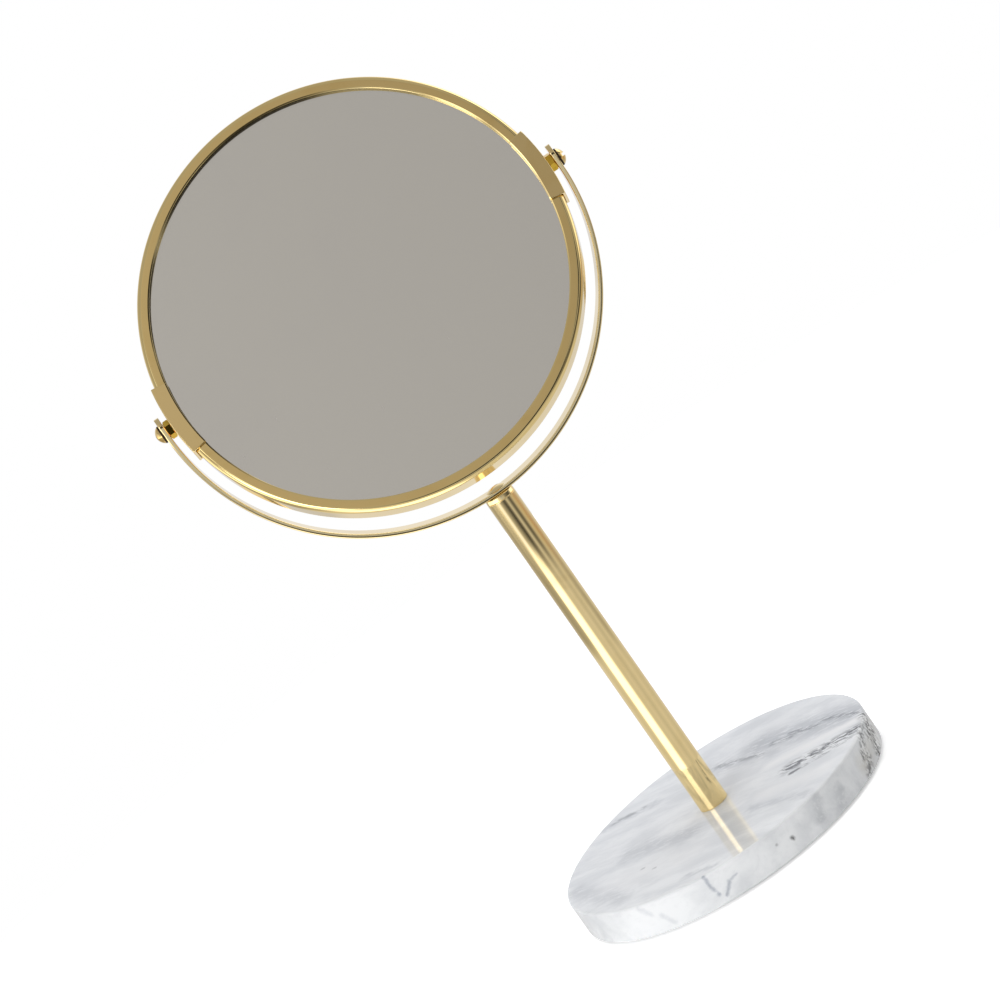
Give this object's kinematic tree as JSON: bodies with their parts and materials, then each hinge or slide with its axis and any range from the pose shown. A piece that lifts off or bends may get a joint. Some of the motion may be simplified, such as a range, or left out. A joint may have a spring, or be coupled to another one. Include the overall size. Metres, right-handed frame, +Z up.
{
  "type": "vanity mirror",
  "caption": "Tabletop vanity mirror: a round brass-framed head with glass on both sides tilts on screws in a half-round yoke, on a brass stem and a marble disc base.",
  "frame": {"origin": "centre of the underside, on the surface that the mirror stands on", "axes": "+Z up along the stem, +X to the right along the pivot axis, and the flat glass faces -Y and leans back"},
  "size_m": [0.1988, 0.145, 0.3555],
  "materials": {
    "marble": "polished, pale grey with darker grey veins",
    "pad": "matt rubber",
    "steel": "bright zinc",
    "brass": "polished pale gold",
    "frame_brass": "polished pale gold with a fine satin face",
    "fastener": "bright yellow plating",
    "mirror": "silvered glass",
    "spacer": "grey board",
    "washer": "black nylon"
  },
  "bodies": {
    "stand": {"base_disc": "marble", "base_pad": "pad", "base_bolt": "steel", "base_washer": "steel", "base_spring_washer": "steel", "stem_tube": "brass", "stem_foot_insert": "brass", "stem_top_plug": "brass", "yoke_strip": "brass", "yoke_screw": "fastener"},
    "head": {"frame_upper": "frame_brass", "frame_lower": "frame_brass", "front_glass": "mirror", "back_glass": "mirror", "mirror_spacer": "spacer", "pivot_clip_left": "frame_brass", "pivot_clip_right": "frame_brass", "pivot_nut_left": "fastener", "pivot_nut_right": "fastener", "pivot_washer_left": "washer", "pivot_washer_right": "washer", "pivot_screw_left": "fastener", "pivot_screw_right": "fastener"}
  },
  "joints": [
    {"name": "head_tilt", "type": "hinge", "parent": "stand", "child": "head", "pos_m": [0, 0, 0.2751], "axis": [1, 0, 0], "continuous": true}
  ]
}
